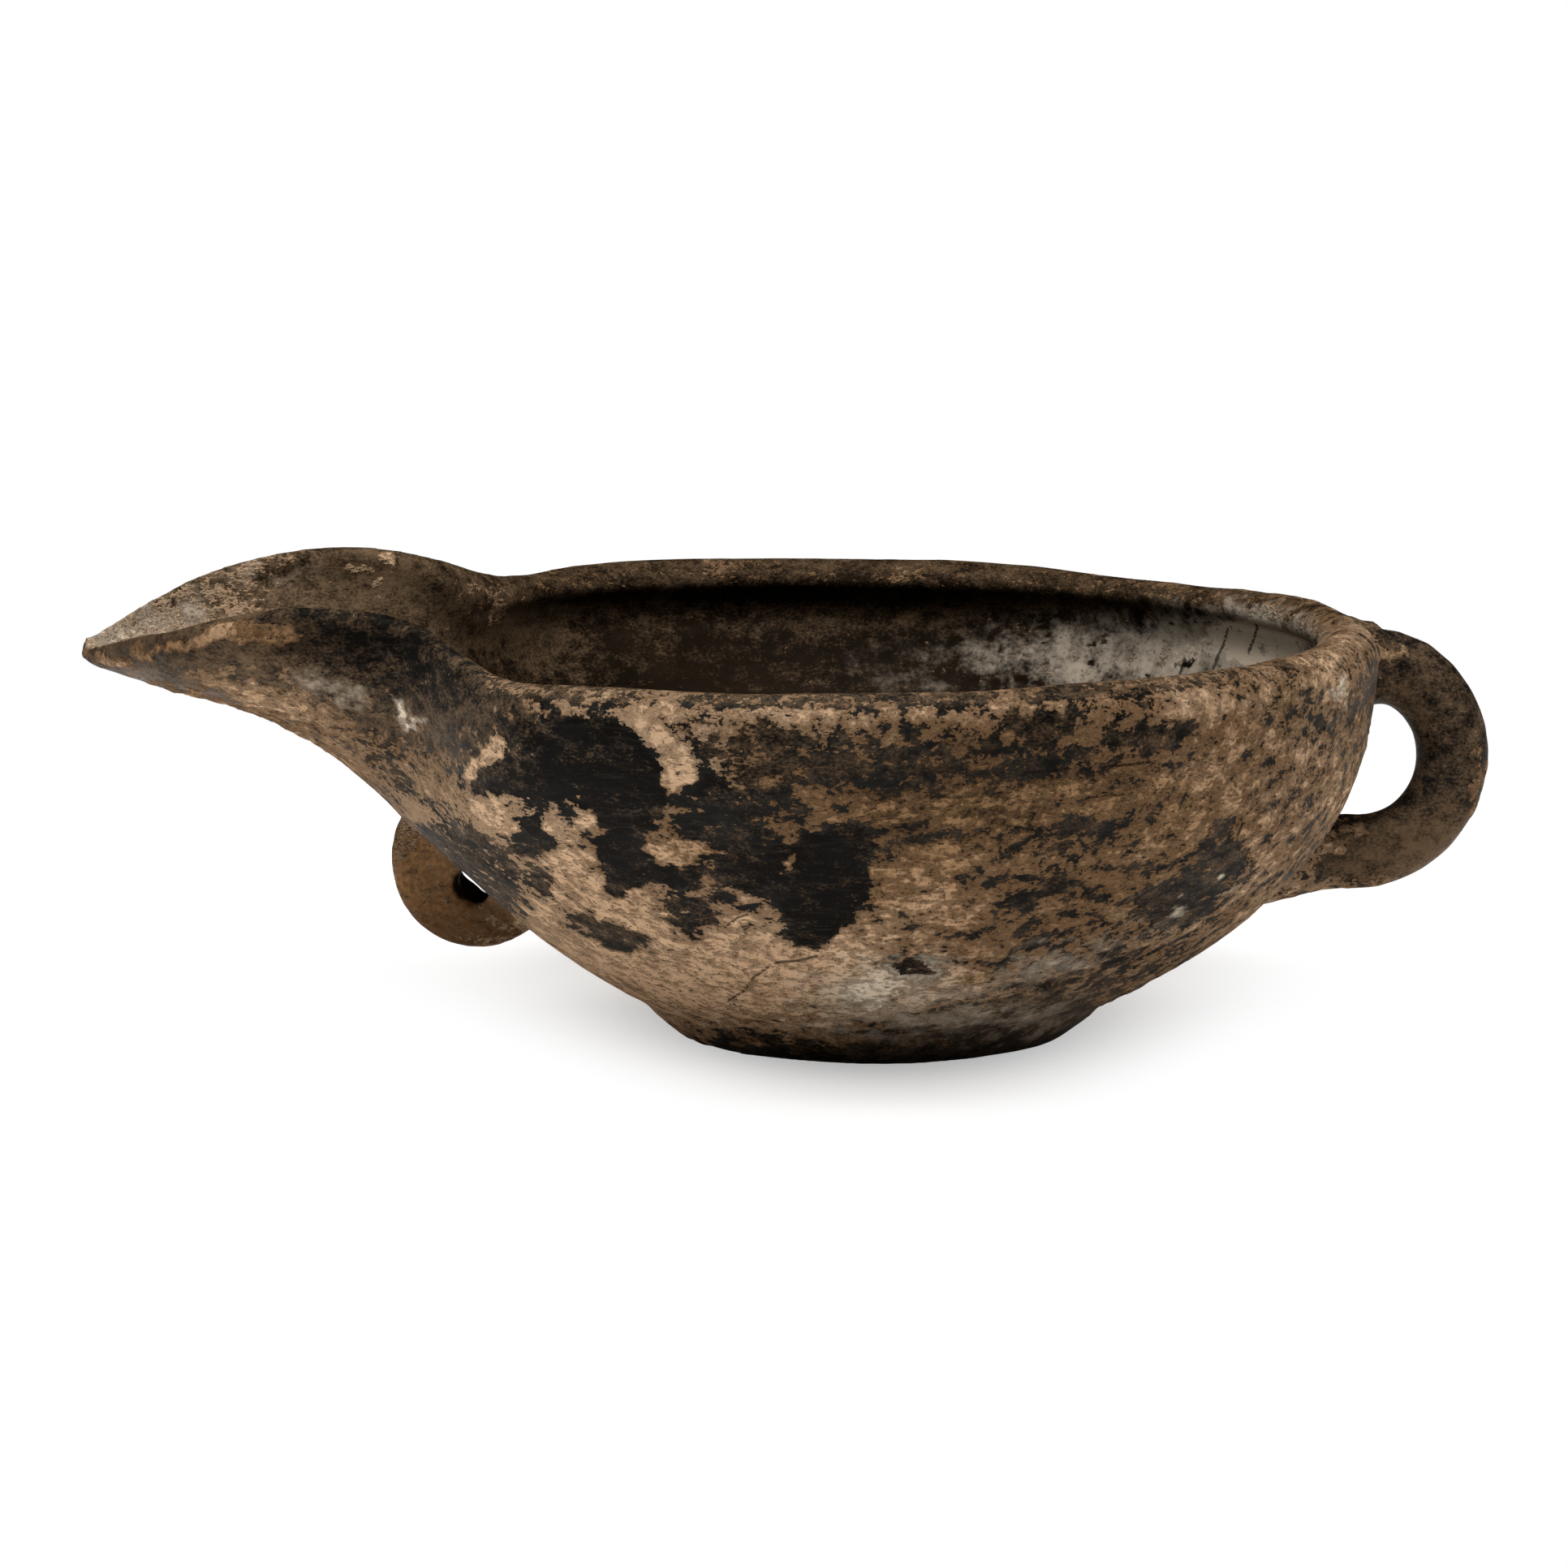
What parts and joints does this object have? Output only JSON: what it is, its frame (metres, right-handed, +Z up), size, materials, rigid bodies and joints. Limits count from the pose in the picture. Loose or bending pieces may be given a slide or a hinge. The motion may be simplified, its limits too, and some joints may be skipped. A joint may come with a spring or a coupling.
{
  "type": "spouted dipper cup",
  "caption": "Hand-built dark earthenware cup on a low foot, with a wide open beak spout, a loop handle opposite it and a pierced lug below the spout, for scooping and pouring.",
  "frame": {"origin": "middle of the foot's underside, on the surface the cup stands on", "axes": "+Z up, +X toward the loop handle, -X toward the spout's tip, +Y to the side away from the picture's camera"},
  "size_m": [0.2428, 0.1908, 0.0787],
  "materials": {
    "foot_clay": "rough fired clay with soil crust",
    "bowl_clay": "burnished black earthenware, half covered by tan soil crust",
    "wall_clay": "burnished black earthenware under thick tan soil crust",
    "rim_clay": "worn burnished black earthenware",
    "spout_clay": "burnished black earthenware with soil streaks",
    "handle_clay": "dull black earthenware with soil film",
    "luting_clay": "rough smeared clay with soil crust",
    "lug_clay": "rust-brown matt fired clay"
  },
  "bodies": {
    "root": {"foot_pad": "foot_clay", "lower_bowl": "bowl_clay", "upper_wall": "wall_clay", "rim_coil": "rim_clay", "spout_trough": "spout_clay", "loop_handle": "handle_clay", "upper_lute": "luting_clay", "lower_lute": "luting_clay", "pierced_lug": "lug_clay"}
  },
  "joints": []
}
